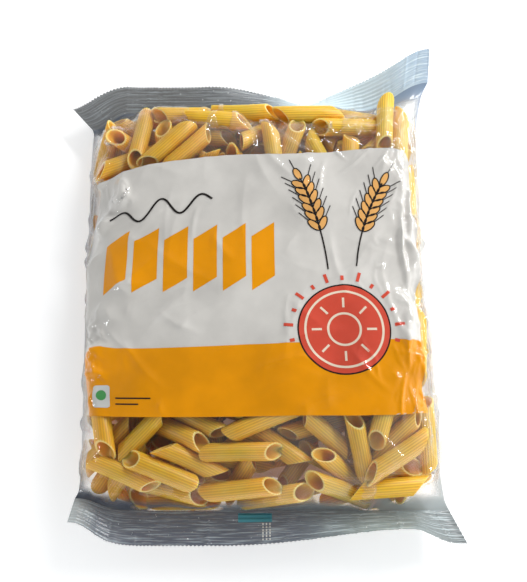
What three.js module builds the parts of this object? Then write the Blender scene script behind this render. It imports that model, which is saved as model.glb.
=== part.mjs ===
// A sealed clear film bag of penne, lying on its back with the printed front up.
// X runs across the bag, Y along it towards the top seal, and Z up from the table. Millimetres.
//
// The bag is one tube of film, heat-sealed flat at both ends. Its form is found as the real one's is:
// the pieces of pasta are packed into a pillow, and the film is then drawn tight over them.

import * as THREE from "three";

// Driving dimensions of the bag
const FILM_WIDTH = 206; // lay-flat width of the tube, which is also the width of both seals
const BODY_WIDTH = 190; // across the filled bag
const BODY_SKEW = 3; // how far the filled body slumps to the left at its top end, and to the right below
const BODY_LENGTH = 228; // from one seal's root to the other's
const CROWN_HEIGHT = 42; // of the filled pillow above the table
const SIDE_LEVEL = 15; // height of the widest line of each side
const SEAL_LENGTH = 19; // of each crimped seal, from its root to its cut edge
const SEAL_LEVEL = 16; // height of a seal's root above the table
const SEAL_THICKNESS = 0.8; // the two sealed layers of film, made thick enough to be a solid
const CRIMP_DEPTH = 0.45; // half the height of a crimp line
const CRIMP_LINES = 5;
const SEAM_OFFSET = 9.4; // the long back seam's free edge, from the middle of the back
const SEAM_STEP = 0.5; // how far the film stands off the table along that edge
const PRESSED_SHARE = 0.86; // of the back's width and length, which lies flat on the table
const SIDE_GIVE = 1; // how far the film's side lines can be drawn in between the pieces of pasta

// Driving dimensions of the pasta
const QUILL_COUNT = 300;
const QUILL_RADIUS = 5.1;
const QUILL_HALF_AXIS = 13.5; // half of the straight part that keeps its distance from its neighbours
const QUILL_HALF_REACH = 16.2; // the same with the slanted tips, which the film has to clear
const SIDE_MARGIN = 1; // between the pasta's rounded ends and the sides
const ROOT_MARGIN = 0; // and the roots of the seals, past which no tip reaches
const FILM_GAP = 0.4; // between the pasta's surface and the film's

// Steps of the two relaxations, and the grid of the film
const SEED = 4172;
const SCATTER_ACROSS = 0.93; // of the bag's width, over which the pieces are scattered first
const SCATTER_ALONG = 0.96; // and of its length
const END_TURN = 0.9; // how far pieces near the ends are turned to lie along the seals
const SCATTER_SLOPE = 0.35; // of the scattered pieces at most, since they lie rather flat
const SEEDLING_SIZE = 0.4; // the share of their radius with which the pieces start to grow
const PACK_STEPS = 420;
const PACK_GROWTH_SHARE = 0.55; // of the steps, in which the pieces grow to their full radius
const PACK_PUSH = 0.35; // of an overlap, taken out in one step
const PAIR_REFRESH = 10; // steps between two searches for neighbours
const PAIR_MARGIN = 5; // how far apart two neighbours may be to count as a pair
const DRAW_STEPS = 140;
const DRAW_REACH = 12; // how far from the loose film a piece of pasta can lie and still come to touch it
const ACROSS = 40; // columns of film across the front, and again across the back
const ALONG = 46; // rows of film between the seals
const RING = 2 * (ACROSS + 1); // points in a row, all the way round
const SIDE_CROWDING = 0.25; // how much wider a column is in the middle than on average
const CRIMP_ROWS = 2 * CRIMP_LINES;

const RADIANS = Math.PI / 180;

// Helpers

function seededRandom(seed) {
  let state = seed >>> 0;
  return () => {
    state = (Math.imul(state, 1664525) + 1013904223) >>> 0;
    return state / 4294967296;
  };
}

function clamp(value, low, high) {
  return Math.min(high, Math.max(low, value));
}

// 0 before start, 1 after end, and smooth between
function ramp(value, start, end) {
  const t = clamp((value - start) / (end - start), 0, 1);
  return t * t * (3 - 2 * t);
}

// 1 at the middle, falling smoothly to 0 on both sides
function bump(value, middle, width) {
  return 1 - ramp(Math.abs(value - middle), 0, width);
}

function sixth(value) {
  const square = value * value;
  return square * square * square;
}

function sixteenth(value) {
  const fourth = value * value * (value * value);
  return fourth * fourth * (fourth * fourth);
}

// The seals. u runs from -1 to 1 across the bag. across and forward place the root, level is its height,
// lean is the seal's angle above the horizontal, and fan is how far it splays out sideways.

function topSeal(u) {
  const sag = 8 + 36 * ramp(u, -0.3, 0.22) + 10 * bump(u, 0.28, 0.16);
  return {
    across: (FILM_WIDTH / 2) * u + 5 * ramp(-u, 0.7, 1) - 3 * ramp(u, 0.7, 1),
    forward: BODY_LENGTH / 2 + 1 + 3 * bump(u, 0.15, 0.6) + 12 * ramp(u, 0.6, 1) - 9 * ramp(-u, 0.75, 1),
    level: SEAL_LEVEL + 15 * ramp(u, 0.5, 1) - 4 * ramp(-u, 0.7, 1),
    lean: 78 * ramp(u, 0.31, 0.85) + 10 * bump(-u, 0.92, 0.25) - sag,
    fan: -42 * ramp(-u, 0.7, 1),
  };
}

function bottomSeal(u) {
  return {
    across: (FILM_WIDTH / 2) * u + 9 * ramp(-u, 0.7, 1) - ramp(u, 0.7, 1),
    forward: BODY_LENGTH / 2 - 6 * ramp(-u, 0.65, 1),
    level: SEAL_LEVEL - 2 - 3 * ramp(u, 0.85, 1) + 4 * ramp(-u, 0.7, 1),
    lean: 22 + 38 * ramp(u, -0.2, 0.75) - 40 * ramp(u, 0.76, 0.98) + 28 * ramp(-u, 0.55, 1),
    fan: 22 * ramp(u, 0.7, 1),
  };
}

function sealAt(end, u) {
  return end > 0 ? topSeal(u) : bottomSeal(u);
}

// A point of a seal: the middle of its thickness at a distance out from its root, and its upward normal
function sealPoint(end, u, out) {
  const seal = sealAt(end, u);
  const lean = seal.lean * RADIANS;
  const fan = seal.fan * RADIANS;
  const flat = Math.cos(fan) * out;
  const level = seal.level + Math.sin(lean) * flat;
  return {
    place: [
      seal.across + Math.sin(fan) * out,
      end * (seal.forward + Math.cos(lean) * flat),
      Math.max(level, SEAL_THICKNESS + CRIMP_DEPTH),
    ],
    normal: [0, -end * Math.sin(lean), Math.cos(lean)],
  };
}

function sealSurface(end, u, out, side) {
  const { place, normal } = sealPoint(end, u, out);
  const crimp = -CRIMP_DEPTH * Math.cos((2 * Math.PI * CRIMP_LINES * out) / SEAL_LENGTH);
  const off = crimp + (side * SEAL_THICKNESS) / 2;
  return place.map((value, axis) => value + normal[axis] * off);
}

// The pasta. A list of ends holds the two ends of each piece's axis: six numbers for a piece.

// The middle line of the pillow and half its length, around a place on the table.
// They follow the seals, so the pasta fills the bag's raised corner too.
function pillowAt(x, y) {
  const end = y < 0 ? -1 : 1;
  const seal = sealAt(end, clamp(x / (BODY_WIDTH / 2), -1, 1));
  const v = clamp(y / seal.forward, -1, 1);
  return {
    halfLength: seal.forward,
    middle: -BODY_SKEW * v,
    level: SIDE_LEVEL + (seal.level - SIDE_LEVEL) * sixth(v),
  };
}

// Moves a point back inside the pillow, less the radius of a piece
function keepInside(ends, at) {
  const pillow = pillowAt(ends[at], ends[at + 1]);
  const halfWidth = BODY_WIDTH / 2 - QUILL_RADIUS - SIDE_MARGIN;
  const halfLength = pillow.halfLength - QUILL_RADIUS - ROOT_MARGIN;
  const halfHeight = CROWN_HEIGHT - SIDE_LEVEL - QUILL_RADIUS;
  const x = (ends[at] - pillow.middle) / halfWidth;
  const y = ends[at + 1] / halfLength;
  const z = (ends[at + 2] - pillow.level) / halfHeight;
  const excess = sixteenth(x) + sixteenth(y) + z * z - 1;
  if (excess > 0) {
    const gx = (16 * sixteenth(x)) / (x * halfWidth || 1);
    const gy = (16 * sixteenth(y)) / (y * halfLength || 1);
    const gz = (2 * z) / halfHeight;
    const share = excess / (gx * gx + gy * gy + gz * gz);
    ends[at] -= gx * share;
    ends[at + 1] -= gy * share;
    ends[at + 2] -= gz * share;
  }
  ends[at + 2] = Math.max(ends[at + 2], QUILL_RADIUS + FILM_GAP);
}

// Sets a piece's ends back to their true distance about their middle
function keepLength(ends, at) {
  const dx = ends[at + 3] - ends[at];
  const dy = ends[at + 4] - ends[at + 1];
  const dz = ends[at + 5] - ends[at + 2];
  const share = 0.5 - QUILL_HALF_AXIS / Math.sqrt(dx * dx + dy * dy + dz * dz);
  ends[at] += dx * share;
  ends[at + 1] += dy * share;
  ends[at + 2] += dz * share;
  ends[at + 3] -= dx * share;
  ends[at + 4] -= dy * share;
  ends[at + 5] -= dz * share;
}

function scatteredQuills() {
  const random = seededRandom(SEED);
  const ends = new Float64Array(QUILL_COUNT * 6);
  for (let at = 0; at < ends.length; at += 6) {
    const x = (2 * random() - 1) * SCATTER_ACROSS * (BODY_WIDTH / 2);
    const y = (2 * random() - 1) * SCATTER_ALONG * (BODY_LENGTH / 2);
    const near = Math.abs(y) / (BODY_LENGTH / 2);
    const turned = 1 - END_TURN * near * near * near;
    const z = QUILL_RADIUS + random() * (CROWN_HEIGHT - 2 * QUILL_RADIUS);
    let dx, dy, dz, square;
    do {
      dx = 2 * random() - 1;
      dy = turned * (2 * random() - 1);
      dz = SCATTER_SLOPE * (2 * random() - 1);
      square = dx * dx + dy * dy + dz * dz;
    } while (square > 1 || square < 0.05);
    const share = QUILL_HALF_AXIS / Math.sqrt(square);
    ends.set([x - dx * share, y - dy * share, z - dz * share], at);
    ends.set([x + dx * share, y + dy * share, z + dz * share], at + 3);
  }
  return ends;
}

// Where the axes of two pieces come closest: the share along each, the way from b to a, and its square
function closest(ends, a, b) {
  const ux = ends[a + 3] - ends[a];
  const uy = ends[a + 4] - ends[a + 1];
  const uz = ends[a + 5] - ends[a + 2];
  const vx = ends[b + 3] - ends[b];
  const vy = ends[b + 4] - ends[b + 1];
  const vz = ends[b + 5] - ends[b + 2];
  const wx = ends[a] - ends[b];
  const wy = ends[a + 1] - ends[b + 1];
  const wz = ends[a + 2] - ends[b + 2];
  const uu = ux * ux + uy * uy + uz * uz;
  const vv = vx * vx + vy * vy + vz * vz;
  const uv = ux * vx + uy * vy + uz * vz;
  const uw = ux * wx + uy * wy + uz * wz;
  const vw = vx * wx + vy * wy + vz * wz;
  const spread = uu * vv - uv * uv;
  let s = spread > 1e-9 ? clamp((uv * vw - uw * vv) / spread, 0, 1) : 0.5;
  let t = (uv * s + vw) / vv;
  if (t < 0) {
    t = 0;
    s = clamp(-uw / uu, 0, 1);
  } else if (t > 1) {
    t = 1;
    s = clamp((uv - uw) / uu, 0, 1);
  }
  const dx = wx + ux * s - vx * t;
  const dy = wy + uy * s - vy * t;
  const dz = wz + uz * s - vz * t;
  return { s, t, dx, dy, dz, square: dx * dx + dy * dy + dz * dz };
}

function nearPairs(ends) {
  const reach = 2 * QUILL_RADIUS + PAIR_MARGIN;
  const pairs = [];
  for (let a = 0; a < ends.length; a += 6) {
    for (let b = a + 6; b < ends.length; b += 6) {
      if (closest(ends, a, b).square < reach * reach) pairs.push([a, b]);
    }
  }
  return pairs;
}

// Pushes the two ends of a piece so that the point at that share of its length moves by the given step
function shove(moves, at, share, x, y, z) {
  const first = 1 - share;
  const scale = 1 / (first * first + share * share);
  moves[at] += x * first * scale;
  moves[at + 1] += y * first * scale;
  moves[at + 2] += z * first * scale;
  moves[at + 3] += x * share * scale;
  moves[at + 4] += y * share * scale;
  moves[at + 5] += z * share * scale;
}

// Lets the scattered pieces grow, push each other apart and slide along the walls until they are packed
function packedQuills() {
  const ends = scatteredQuills();
  const moves = new Float64Array(ends.length);
  let pairs = [];
  for (let step = 0; step < PACK_STEPS; step++) {
    if (step % PAIR_REFRESH === 0) pairs = nearPairs(ends);
    const grown = ((1 - SEEDLING_SIZE) * step) / (PACK_GROWTH_SHARE * PACK_STEPS);
    const growth = Math.min(1, SEEDLING_SIZE + grown);
    const apart = 2 * QUILL_RADIUS * growth;
    moves.fill(0);
    for (const [a, b] of pairs) {
      const near = closest(ends, a, b);
      if (near.square >= apart * apart || near.square < 1e-12) continue;
      const distance = Math.sqrt(near.square);
      const push = (PACK_PUSH * (apart - distance)) / distance;
      shove(moves, a, near.s, near.dx * push, near.dy * push, near.dz * push);
      shove(moves, b, near.t, -near.dx * push, -near.dy * push, -near.dz * push);
    }
    for (let at = 0; at < ends.length; at++) ends[at] += moves[at];
    for (let at = 0; at < ends.length; at += 6) {
      keepInside(ends, at);
      keepInside(ends, at + 3);
      keepLength(ends, at);
    }
  }
  return ends;
}

// The film. Each row is a ring: columns 0 to ACROSS over the front, then back again underneath.
// The columns lie closer together towards the sides, where the film curves most.

function columnOf(ring) {
  return ring <= ACROSS ? ring : RING - 1 - ring;
}

function isFront(ring) {
  return ring <= ACROSS;
}

// -1 on the left side line, 1 on the right one
function acrossOf(ring) {
  const w = (2 * columnOf(ring)) / ACROSS - 1;
  return w * (1 + SIDE_CROWDING - SIDE_CROWDING * w * w);
}

// The loose pillow that the film starts from
function loosePoint(ring, row) {
  const u = acrossOf(ring);
  const v = (2 * row) / ALONG - 1;
  const end = v < 0 ? -1 : 1;
  const side = isFront(ring) ? 1 : -1;
  if (row === 0 || row === ALONG) return sealSurface(end, u, 0, side);
  const toEnd = sixth(v) * v * v;
  const seal = sealAt(end, u);
  const across = (BODY_WIDTH / 2) * u - BODY_SKEW * v;
  const forward = BODY_LENGTH / 2 + (seal.forward - BODY_LENGTH / 2) * toEnd;
  const middle = SIDE_LEVEL + (seal.level - SIDE_LEVEL) * toEnd;
  const swell = Math.sqrt(1 - sixth(v)) * Math.sqrt(Math.max(0, 1 - sixth(u)));
  const height = CROWN_HEIGHT - SIDE_LEVEL;
  const level = middle + side * (height * swell + SEAL_THICKNESS / 2);
  return [across + (seal.across - across) * toEnd, v * forward, Math.max(0, level)];
}

function looseFilm() {
  const film = new Float64Array(RING * (ALONG + 1) * 3);
  for (let row = 0; row <= ALONG; row++) {
    for (let ring = 0; ring < RING; ring++) {
      film.set(loosePoint(ring, row), (row * RING + ring) * 3);
    }
  }
  return film;
}

// How far a point is from a piece's axis, drawn out to its tips
function axisOffset(film, at, ends, quill) {
  const stretch = 0.5 * (QUILL_HALF_REACH / QUILL_HALF_AXIS - 1);
  const ax = ends[quill + 3] - ends[quill];
  const ay = ends[quill + 4] - ends[quill + 1];
  const az = ends[quill + 5] - ends[quill + 2];
  const px = film[at] - ends[quill];
  const py = film[at + 1] - ends[quill + 1];
  const pz = film[at + 2] - ends[quill + 2];
  const share = (px * ax + py * ay + pz * az) / (ax * ax + ay * ay + az * az);
  const kept = clamp(share, -stretch, 1 + stretch);
  return [px - ax * kept, py - ay * kept, pz - az * kept];
}

function lengthOf([x, y, z]) {
  return Math.sqrt(x * x + y * y + z * z);
}

// For each point of the film, the pieces that it can come to touch
function neighboursOf(film, ends) {
  const reach = QUILL_RADIUS + FILM_GAP + DRAW_REACH;
  const lists = [];
  for (let at = 0; at < film.length; at += 3) {
    const list = [];
    for (let quill = 0; quill < ends.length; quill += 6) {
      if (lengthOf(axisOffset(film, at, ends, quill)) < reach) list.push(quill);
    }
    lists.push(list);
  }
  return lists;
}

// The back film is pressed flat on the table, but for the step at the long seam's free edge
function pressedLevel(ring, row) {
  const u = acrossOf(ring);
  const v = (2 * row) / ALONG - 1;
  if (isFront(ring) || Math.abs(u) > PRESSED_SHARE || Math.abs(v) > PRESSED_SHARE) return null;
  const columnWidth = ((1 + SIDE_CROWDING) * BODY_WIDTH) / ACROSS;
  const fromSeam = Math.abs((BODY_WIDTH / 2) * u - SEAM_OFFSET);
  return fromSeam < columnWidth / 2 ? SEAM_STEP : 0;
}

// Draws the film tight: each point moves to the middle of its neighbours, then back out of the pasta
function drawnFilm(ends) {
  const loose = looseFilm();
  let film = loose;
  const lists = neighboursOf(film, ends);
  const clear = QUILL_RADIUS + FILM_GAP;
  for (let step = 0; step < DRAW_STEPS; step++) {
    const next = film.slice();
    for (let row = 1; row < ALONG; row++) {
      for (let ring = 0; ring < RING; ring++) {
        const at = (row * RING + ring) * 3;
        const left = (row * RING + ((ring + RING - 1) % RING)) * 3;
        const right = (row * RING + ((ring + 1) % RING)) * 3;
        const below = at - RING * 3;
        const above = at + RING * 3;
        for (let axis = 0; axis < 3; axis++) {
          next[at + axis] =
            0.25 * (film[left + axis] + film[right + axis] + (film[below + axis] + film[above + axis]));
        }
        for (const quill of lists[at / 3]) {
          const offset = axisOffset(next, at, ends, quill);
          const distance = lengthOf(offset);
          if (distance >= clear) continue;
          const push = (clear - distance) / distance;
          for (let axis = 0; axis < 3; axis++) next[at + axis] += offset[axis] * push;
        }
        keepSide(next, loose, ring, at);
        next[at + 2] = Math.max(next[at + 2], 0);
        const pressed = pressedLevel(ring, row);
        if (pressed !== null) next[at + 2] = pressed;
      }
      keepLayersApart(next, row);
    }
    film = next;
  }
  return film;
}

// The film doesn't stretch, so its side lines are drawn in only a little
function keepSide(film, loose, ring, at) {
  const column = columnOf(ring);
  if (column === 0) film[at] = Math.min(film[at], loose[at] + SIDE_GIVE);
  if (column === ACROSS) film[at] = Math.max(film[at], loose[at] - SIDE_GIVE);
}

// Where no pasta holds the two layers of film apart, the front one lies on the back one
function keepLayersApart(film, row) {
  for (let column = 0; column <= ACROSS; column++) {
    const front = (row * RING + column) * 3 + 2;
    const back = (row * RING + RING - 1 - column) * 3 + 2;
    if (film[front] - film[back] >= SEAL_THICKNESS) continue;
    const middle = Math.max(0.5 * (film[front] + film[back]), SEAL_THICKNESS / 2);
    film[front] = middle + SEAL_THICKNESS / 2;
    film[back] = middle - SEAL_THICKNESS / 2;
  }
}

// The whole bag as one closed mesh: bottom seal, body, top seal, and a cut edge at each end

function sealRow(end, out) {
  const row = [];
  for (let ring = 0; ring < RING; ring++) {
    row.push(sealSurface(end, acrossOf(ring), out, isFront(ring) ? 1 : -1));
  }
  return row;
}

function bagRows(film) {
  const rows = [];
  for (let step = CRIMP_ROWS; step > 0; step--) rows.push(sealRow(-1, (SEAL_LENGTH * step) / CRIMP_ROWS));
  for (let row = 0; row <= ALONG; row++) {
    const points = [];
    for (let ring = 0; ring < RING; ring++) {
      const at = (row * RING + ring) * 3;
      points.push([film[at], film[at + 1], film[at + 2]]);
    }
    rows.push(points);
  }
  for (let step = 1; step <= CRIMP_ROWS; step++) rows.push(sealRow(1, (SEAL_LENGTH * step) / CRIMP_ROWS));
  return rows;
}

function bagGeometry(rows) {
  const index = [];
  const last = rows.length - 1;
  for (let row = 0; row < last; row++) {
    for (let ring = 0; ring < RING; ring++) {
      const a = row * RING + ring;
      const b = row * RING + ((ring + 1) % RING);
      index.push(a, b, b + RING, a, b + RING, a + RING);
    }
  }
  for (let column = 0; column < ACROSS; column++) {
    const other = RING - 1 - column;
    index.push(column, other, other - 1, column, other - 1, column + 1);
    const far = last * RING;
    index.push(far + column, far + other - 1, far + other, far + column, far + column + 1, far + other - 1);
  }
  const geometry = new THREE.BufferGeometry();
  geometry.setAttribute("position", new THREE.Float32BufferAttribute(rows.flat(2), 3));
  geometry.setIndex(index);
  return geometry;
}

// Stands the bag on the table with the middle of its outline at the origin
function centre(geometry) {
  geometry.computeBoundingBox();
  const { min, max } = geometry.boundingBox;
  geometry.translate(-(min.x + max.x) / 2, -(min.y + max.y) / 2, 0);
  geometry.computeVertexNormals();
  return geometry;
}

function bag() {
  const rows = bagRows(drawnFilm(packedQuills()));
  const pastaUnderFilm = new THREE.MeshStandardMaterial({
    color: new THREE.Color().setRGB(0.8, 0.62, 0.27, THREE.SRGBColorSpace),
    roughness: 0.35,
    metalness: 0,
  });
  const mesh = new THREE.Mesh(centre(bagGeometry(rows)), pastaUnderFilm);
  mesh.name = "bag";
  return mesh;
}

const packet = new THREE.Group();
packet.add(bag());
export default packet;
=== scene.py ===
"""A clear film bag of penne that lies on its back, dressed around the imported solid.

The pasta and the film are laid out by the same steps as the solid, in millimetres, and then refined.
"""

import math

import bpy
import numpy as np
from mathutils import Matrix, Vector
from mathutils.kdtree import KDTree


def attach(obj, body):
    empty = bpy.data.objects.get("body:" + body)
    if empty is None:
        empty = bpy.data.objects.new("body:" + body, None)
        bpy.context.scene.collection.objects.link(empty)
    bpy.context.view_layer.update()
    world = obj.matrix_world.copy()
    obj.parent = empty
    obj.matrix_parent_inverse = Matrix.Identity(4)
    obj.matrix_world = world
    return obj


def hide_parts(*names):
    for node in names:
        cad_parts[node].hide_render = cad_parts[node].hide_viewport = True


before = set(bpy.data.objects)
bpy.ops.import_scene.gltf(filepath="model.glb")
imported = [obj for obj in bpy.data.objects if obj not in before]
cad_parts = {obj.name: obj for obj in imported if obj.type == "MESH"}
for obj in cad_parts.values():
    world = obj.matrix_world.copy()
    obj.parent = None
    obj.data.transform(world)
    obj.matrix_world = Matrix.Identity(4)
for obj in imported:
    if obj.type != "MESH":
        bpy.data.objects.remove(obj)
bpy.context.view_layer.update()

# Dimensions shared with the solid, in millimetres

FILM_WIDTH = 206
BODY_WIDTH = 190
BODY_SKEW = 3
BODY_LENGTH = 228
CROWN_HEIGHT = 42
SIDE_LEVEL = 15
SEAL_LENGTH = 19
SEAL_LEVEL = 16
SEAL_THICKNESS = 0.8
CRIMP_DEPTH = 0.45
CRIMP_LINES = 5
SEAM_OFFSET = 9.4
SEAM_STEP = 0.5
PRESSED_SHARE = 0.86
SIDE_GIVE = 1

QUILL_COUNT = 300
QUILL_RADIUS = 5.1
QUILL_HALF_AXIS = 13.5
QUILL_HALF_REACH = 16.2
SIDE_MARGIN = 1
ROOT_MARGIN = 0
FILM_GAP = 0.4

SEED = 4172
SCATTER_ACROSS = 0.93
SCATTER_ALONG = 0.96
END_TURN = 0.9
PACK_STEPS = 420
PACK_GROWTH_SHARE = 0.55
PACK_PUSH = 0.35
PAIR_REFRESH = 10
PAIR_MARGIN = 5
DRAW_STEPS = 140
DRAW_REACH = 12
ACROSS = 40
ALONG = 46
RING = 2 * (ACROSS + 1)
SIDE_CROWDING = 0.25
PART_SIZE = 4000  # points whose distances are worked out at once

# The finer look

FINE_FRONT = 240  # columns of the front film
FINE_BACK = 80  # columns of the back film
FINE_ALONG = 276  # rows of both
FINE_STEPS = 14
FINE_GAP = 0.7  # between a piece of pasta and the film drawn over it
TENT_GAP = 0.5  # between a rim and the film that it would pierce
TENT_REACH = 5  # how far round such a rim the film is lifted
TENT_LIMIT = 3  # most that it is lifted
TENT_HALF = 98  # only this far from the middle, and not near the seals
TENT_ROUNDS = 2
TENT_CORE = 0.3  # share of the reach that is lifted in full
RIM_POINTS = 20  # round each end of a piece, to test against the film
TIP_RADIUS = 1  # how near the tips of the pasta come to the pillow's surface
TOOTH = 0.5  # half the depth of the saw-cut edge
SEAL_WAVE = 0.28  # half the depth of a seal's lines
SEAL_PUCKERS = 46  # in each seal
MARK_FIELD = (-8.2, 9.4, 1.6, 6.6)  # left, right, and how far out from the seal's root
MARK_LINES = (4.4, 6.2, 8.0)
MARK_LIFT = 0.12
MARK_STEP = 0.4
DASH_WIDTH = 0.7
DASH_LENGTH = 1.1
DASH_OUTS = (7.4, 17, 1.7)  # first, end and step
SEAM_LEFT = -8  # the back seam runs from here to SEAM_OFFSET
SEAM_DROP = 0.15
FINE_CRIMPS = 8  # lines in each seal
WALL = 1.1  # of a piece of pasta
LIP = 0.35  # of the wall's thickness that its rounded lip takes
LIP_DROP = 0.3  # how much shorter the wall is at its edges than in its middle
RIDGES = 22  # round a piece of pasta
RIDGE_DEPTH = 0.36
ROLL_REACH = 115  # degrees that a tip may turn from straight down
METRE = 0.001  # one millimetre in Blender's units

# The print

LABEL_LEFT = 15  # film between the left side of the front and the label
LABEL_RIGHT = 20
LABEL_BULGE = 9  # how far the label's left edge goes round the side half-way up
LABEL_BOTTOM = -69.9
LABEL_HEIGHT = 148.8
LABEL_SAG_LEFT = 14.2  # how much lower the label's top edge is at its left end
LABEL_SAG_RIGHT = 2.4
LABEL_CORNER = 4
BAND_HEIGHT = 37.4
BAND_RISE = 5.8  # of the band's top edge, from left to right
BARS_LEFT = 14
BARS_BOTTOM = 71
BAR_COUNT = 6
BAR_STEP = 15
BAR_WIDTH = 12
BAR_HEIGHT = 31
BAR_SLANT = 8
WAVE_LEFT = 14
WAVE_LEVEL = 115
WAVE_LENGTH = 54
WAVE_HEIGHT = 6
WAVE_WIDTH = 1.2
WAVE_TURNS = 2.5
WAVE_RISE = 7
SUN_A = 136
SUN_B = 45
SUN_RADIUS = 23.5
SUN_RAYS = 13
RAY_WIDTH = 1.7
RAY_START = -12  # degrees
RAY_SWEEP = 204
RAY_GAP = 3  # between the sun and its rays
RAY_REACHES = (5.5, 8)  # of the short and the long rays
SUN_DASHES = 8
RING_WIDTH = 1.2
RING_SHARES = (0.86, 0.36)  # of the sun's radius
DASH_SHARES = (0.5, 0.72)
EARS = (  # a, b, length, heading and bend in degrees
    (129, 78, 56, 94, 22),
    (144, 79, 52, 82, -22),
)
EAR_GRAINS = 7
GRAIN_SPAN = (0.42, 0.98)  # shares of the stem at the first grain and the last
GRAIN_HALF = 4.2
GRAIN_WIDTH = 1.9
GRAIN_LEAN = 0.62  # radians between a grain and its stem
AWN_REACH = 11
RULES = ((20, 9.5, 18), (20, 6.5, 12))  # a, b and length
RULE_WIDTH = 0.7
TILE_A = 8
TILE_B = 4.5
TILE_SIZE = 9
TILE_TALL = 1.3  # times as high as it is wide
TILE_CORNER = 1.2
DOT_LEVEL = 0.72  # of the green dot, in widths of the tile
DOT_RADIUS = 2.7
OUTLINE = 0.8
PRINT_STEP = 0.7
GROUND_DEPTH = 0.34  # under the film, as are those that follow
BAND_DEPTH = 0.27
UNDER_DEPTH = 0.21
MOTIF_DEPTH = 0.15
LINE_DEPTH = 0.09
INKS = {
    "white": (214, 210, 204),
    "orange": (236, 156, 2),
    "dark": (38, 32, 30),
    "red": (216, 84, 64),
    "cream": (240, 222, 200),
    "tan": (232, 176, 104),
    "pale": (214, 214, 210),
    "green": (84, 160, 92),
    "teal": (84, 150, 162),
}

# Looks of the film, in millimetres, and the stage, in metres

GAP_START = 2.5  # the painted shade on the film starts from this far off the pasta
GAP_END = 12
GAP_SHADE = 0.1  # how opaque the painted shade gets there, then towards its sides and towards the seals
SIDE_SHADE = 0.6
ROOT_SHADE = 0.9
ROOT_REACH = (5, 18)  # nearer than this to a seal the painted shade is full, and further than this it is gone
ROOT_GAP = (0.2, 1.6)  # the painted shade near a seal grows as the film leaves the pasta
SIDE_START = 0.92  # share of the half width at which the painted shade of the sides begins
GAP_GLOW_LEVEL = 1.5  # the back film is painted with the ochre glow of lit pasta up to this height
# Painted reflection and shade along each seal, from its left end to its right: pale blue where the window
# light is reflected, grey where it is shaded
TOP_SEAL_PAINTED_LIGHT = (
    (0.0, (80, 82, 84)), (0.25, (62, 63, 62)), (0.52, (76, 82, 88)),
    (0.66, (218, 238, 244)), (0.84, (204, 226, 236)), (1.0, (148, 170, 192)),
)
BOTTOM_SEAL_PAINTED_LIGHT = (
    (0.0, (150, 156, 156)), (0.09, (88, 94, 104)), (0.2, (58, 64, 80)), (0.6, (62, 70, 84)),
    (0.8, (128, 142, 140)), (1.0, (92, 100, 102)),
)
# Darker spots in the inks: partly uneven ink and partly painted shade of the film's soft wrinkles
INK_MOTTLE_AND_SHADE = 0.09
FLOOR_HALF = 3.0
FLOOR_LEVEL = -0.0004
FLOOR_GLOW = 0.35  # lifts the floor's shadows, as a sheet of white paper lit from all sides does
LIGHT_DISTANCE = 0.9
LIGHT_TARGET = (0, 0, 0.02)
LIGHTS = (
    # name, the direction that it comes from, width, length and radiance
    ("key", (0.7, 0.38, 0.6), 0.09, 0.5, 32),
    ("head", (0.36, 0.72, 0.6), 0.08, 0.26, 36),
    ("rim", (-0.8, -0.15, 0.42), 0.04, 0.3, 26),
)
HORIZON_STRENGTH = 1.62
ZENITH_STRENGTH = 0.16
WORLD_COLOUR = (0.95, 0.98, 1.0, 1.0)
WORLD_SLOPE = (0.35, -0.3, 0.0)  # the surroundings are brighter on the right and in front
LENS = 51.46
CAMERA_RISE = 74  # degrees above the horizon
CAMERA_DISTANCE = 0.439
CAMERA_TARGET = (0.005, -0.0083, 0.042)


# Helpers

def ramp(value, start, end):
    """0 before start, 1 after end, and smooth between."""
    t = np.clip((value - start) / (end - start), 0, 1)
    return t * t * (3 - 2 * t)


def from_ends(values):
    """How far each value is from the nearer end of a rising list."""
    return np.minimum(values - values[0], values[-1] - values)


def bump(value, middle, width):
    """1 at the middle, falling smoothly to 0 on both sides."""
    return 1 - ramp(np.abs(value - middle), 0, width)


def sixth(value):
    square = value * value
    return square * square * square


def sixteenth(value):
    fourth = value * value * (value * value)
    return fourth * fourth * (fourth * fourth)


def dot(a, b):
    return a[..., 0] * b[..., 0] + a[..., 1] * b[..., 1] + a[..., 2] * b[..., 2]


def length_of(a):
    return np.sqrt(dot(a, a))


def unit(a):
    return a / np.maximum(length_of(a), 1e-12)[..., None]


def srgb(red, green, blue):
    """A colour given as the screen shows it, from 0 to 255, in Blender's linear numbers."""
    linear = [(c / 255 + 0.055) / 1.055 for c in (red, green, blue)]
    return [c ** 2.4 for c in linear] + [1.0]


# The seals

def top_seal(u):
    sag = 8 + 36 * ramp(u, -0.3, 0.22) + 10 * bump(u, 0.28, 0.16)
    across = (FILM_WIDTH / 2) * u + 5 * ramp(-u, 0.7, 1) - 3 * ramp(u, 0.7, 1)
    forward = BODY_LENGTH / 2 + 1 + 3 * bump(u, 0.15, 0.6) + 12 * ramp(u, 0.6, 1) - 9 * ramp(-u, 0.75, 1)
    level = SEAL_LEVEL + 15 * ramp(u, 0.5, 1) - 4 * ramp(-u, 0.7, 1)
    lean = 78 * ramp(u, 0.31, 0.85) + 10 * bump(-u, 0.92, 0.25) - sag
    fan = -42 * ramp(-u, 0.7, 1)
    return across, forward, level, lean, fan


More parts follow.
